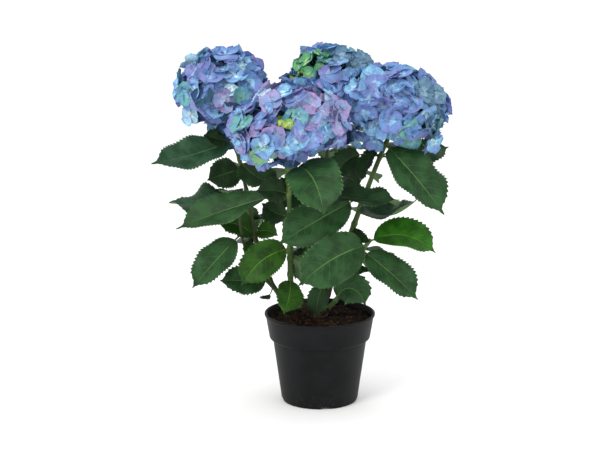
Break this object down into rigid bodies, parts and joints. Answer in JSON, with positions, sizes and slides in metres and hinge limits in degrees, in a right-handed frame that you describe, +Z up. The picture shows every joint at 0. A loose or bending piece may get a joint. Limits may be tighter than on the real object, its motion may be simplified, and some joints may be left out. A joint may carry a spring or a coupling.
{
  "type": "potted hydrangea shrub",
  "caption": "Young mophead hydrangea with broad leaves and round flower heads on woody canes, growing in a round tapered nursery pot filled with soil.",
  "frame": {"origin": "middle of the pot's flat underside", "axes": "+Z up through the pot, -Y towards the front of the plant, +X to the plant's right as seen from the front"},
  "size_m": [0.5065, 0.4051, 0.6092],
  "materials": {
    "pot": "near-black moulded plastic, slightly satin",
    "soil": "dark moist bark and peat compost",
    "bark": "brown-green woody stem with fine lengthwise cracks",
    "leaves": "dark green satin leaf with pale veins",
    "blue_violet_petals": "matt blue-violet petals with pale centres",
    "lavender_petals": "matt lavender, mauve and light blue petals",
    "blue_petals": "matt blue petals with violet rims",
    "sky_green_petals": "matt sky-blue petals turning green on one side"
  },
  "bodies": {
    "root": {"pot": "pot", "soil": "soil", "root_crown": "bark", "cane_left": "bark", "cane_front": "bark", "cane_right": "bark", "cane_back": "bark", "shoot_left": "leaves", "shoot_front": "leaves", "shoot_right": "leaves", "shoot_low_right": "leaves", "shoot_back": "leaves", "flower_head_left": "blue_violet_petals", "flower_head_front": "lavender_petals", "flower_head_right": "blue_petals", "flower_head_back": "sky_green_petals"}
  },
  "joints": []
}
